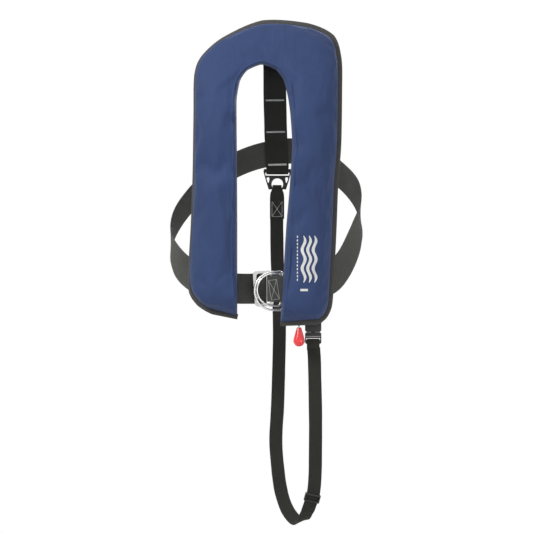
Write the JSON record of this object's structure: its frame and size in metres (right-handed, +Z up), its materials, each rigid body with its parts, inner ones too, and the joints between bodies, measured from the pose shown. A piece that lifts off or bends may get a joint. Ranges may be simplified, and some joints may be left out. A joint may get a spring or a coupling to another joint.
{
  "type": "inflatable life jacket",
  "caption": "Packed inflatable life jacket: a U-shaped blue cover with dark bound edge, waist belt with steel buckle, back yoke and crotch strap, and a red pull toggle.",
  "frame": {"origin": "between the lobes at the height where the collar's neck edge rests on the wearer", "axes": "+Z up, the front of the jacket faces -Y, +X to the right seen from the front"},
  "size_m": [0.3202, 0.2177, 0.8383],
  "materials": {
    "cover_fabric": "matt coated woven polyester, navy blue",
    "binding_tape": "woven edge tape, charcoal",
    "bladder_fabric": "coated nylon, yellow, folded",
    "black_plastic": "moulded acetal, fine grain",
    "stainless_steel": "polished stainless steel",
    "zinc_steel": "zinc plated steel",
    "green_plastic": "moulded, glossy",
    "orange_plastic": "moulded, satin",
    "toggle_red": "glossy moulded red",
    "black_webbing": "woven polyester webbing, black",
    "belt_webbing": "woven polyester webbing, charcoal",
    "grey_thread": "pale grey bar tack"
  },
  "bodies": {
    "jacket": {"cover_front_left": "cover_fabric", "cover_front_collar": "cover_fabric", "cover_front_right": "cover_fabric", "cover_back_panel": "cover_fabric", "edge_binding": "binding_tape", "folded_bladder": "bladder_fabric", "oral_tube_flange": "bladder_fabric", "inflator_body": "black_plastic", "bladder_manifold": "black_plastic", "oral_tube": "black_plastic", "oral_valve_housing": "black_plastic", "back_slider": "black_plastic", "buckle_socket": "black_plastic", "buckle_plug": "black_plastic", "piercing_spring": "stainless_steel", "lever_pivot_pin": "stainless_steel", "indicator_clip": "green_plastic", "whistle": "orange_plastic", "whistle_lanyard": "black_webbing", "lanyard_band": "black_webbing", "belt_keeper_left": "black_webbing", "belt_keeper_right": "black_webbing", "yoke_strap": "black_webbing", "yoke_return": "black_webbing", "yoke_fold": "black_webbing", "yoke_anchor_patch": "black_webbing", "crotch_upper_loop": "black_webbing", "crotch_strap_rear": "black_webbing", "crotch_strap_under": "black_webbing", "crotch_strap_front": "black_webbing", "buckle_web": "black_webbing", "plug_strap_fold": "black_webbing", "belt_left_front": "belt_webbing", "belt_left_side": "belt_webbing", "belt_back": "belt_webbing", "belt_right_side": "belt_webbing", "belt_right_front": "belt_webbing", "reflective_bar_1": "grey_thread", "reflective_bar_2": "grey_thread", "reflective_bar_3": "grey_thread"},
    "pull": {"pull_lanyard": "black_webbing", "pull_toggle": "toggle_red"},
    "lever": {"manual_lever": "orange_plastic"},
    "pin": {"piercing_pin": "stainless_steel"},
    "firing_cap": {"firing_cap": "black_plastic"},
    "cylinder": {"co2_cylinder": "zinc_steel"},
    "cap_nut": {"manifold_cap_nut": "black_plastic"},
    "oral_cap": {"oral_cap": "black_plastic"},
    "valve_stem": {"oral_valve_stem": "orange_plastic"},
    "d_rings": {"d_ring_inner": "stainless_steel", "d_ring_outer": "stainless_steel"},
    "buckle_frame": {"buckle_frame": "stainless_steel"},
    "prong_left": {"prong_left": "black_plastic"},
    "prong_right": {"prong_right": "black_plastic"},
    "tri_glide": {"tri_glide": "black_plastic"}
  },
  "joints": [
    {"name": "toggle_pull", "type": "slide", "parent": "jacket", "child": "pull", "axis": [0, 0, -1], "range_m": [0, 0.038]},
    {"name": "lever_swing", "type": "hinge", "parent": "jacket", "child": "lever", "pos_m": [0.062, -0.004, -0.388], "axis": [0, -1, 0], "range_deg": [0, 100]},
    {"name": "pin_travel", "type": "slide", "parent": "jacket", "child": "pin", "axis": [0, 0, 1], "range_m": [0, 0.004]},
    {"name": "firing_cap_turn", "type": "hinge", "parent": "jacket", "child": "firing_cap", "pos_m": [0.069, -0.0145, -0.404], "axis": [0, 0, 1], "range_deg": [0, 60]},
    {"name": "cylinder_turn", "type": "hinge", "parent": "jacket", "child": "cylinder", "pos_m": [0.069, -0.0145, -0.345], "axis": [0, 0, 1], "range_deg": [0, 360]},
    {"name": "cap_nut_turn", "type": "hinge", "parent": "jacket", "child": "cap_nut", "pos_m": [0.069, -0.0265, -0.372], "axis": [0, 1, 0], "range_deg": [0, 360]},
    {"name": "oral_cap_pull", "type": "slide", "parent": "jacket", "child": "oral_cap", "axis": [0, 0, -1], "range_m": [0, 0.014]},
    {"name": "valve_press", "type": "slide", "parent": "jacket", "child": "valve_stem", "axis": [0, 0, 1], "range_m": [0, 0.004], "stiffness_N_per_m": 200},
    {"name": "ring_swing", "type": "hinge", "parent": "jacket", "child": "d_rings", "pos_m": [0.0232, 0.0131, -0.371], "axis": [0, 0, 1], "range_deg": [0, 26]},
    {"name": "frame_swing", "type": "hinge", "parent": "jacket", "child": "buckle_frame", "pos_m": [0.0065, 0.0131, -0.371], "axis": [-0.0698, 0, 0.9976], "range_deg": [0, 10]},
    {"name": "prong_left_press", "type": "hinge", "parent": "jacket", "child": "prong_left", "pos_m": [0.0692, 0.018, -0.4424], "axis": [0, 1, 0], "range_deg": [0, 6], "stiffness_Nm_per_rad": 0.15},
    {"name": "prong_right_press", "type": "hinge", "parent": "jacket", "child": "prong_right", "pos_m": [0.0818, 0.018, -0.4424], "axis": [0, -1, 0], "range_deg": [0, 6], "stiffness_Nm_per_rad": 0.15},
    {"name": "glide_adjust", "type": "slide", "parent": "jacket", "child": "tri_glide", "axis": [0.2542, -0.2791, 0.926], "range_m": [0, 0.003]}
  ],
  "couplings": [
    {"joint": "lever_swing", "follows": "toggle_pull", "rad_per_m": 45},
    {"joint": "pin_travel", "follows": "toggle_pull", "ratio": 0.1},
    {"joint": "prong_right_press", "follows": "prong_left_press", "ratio": 1}
  ]
}
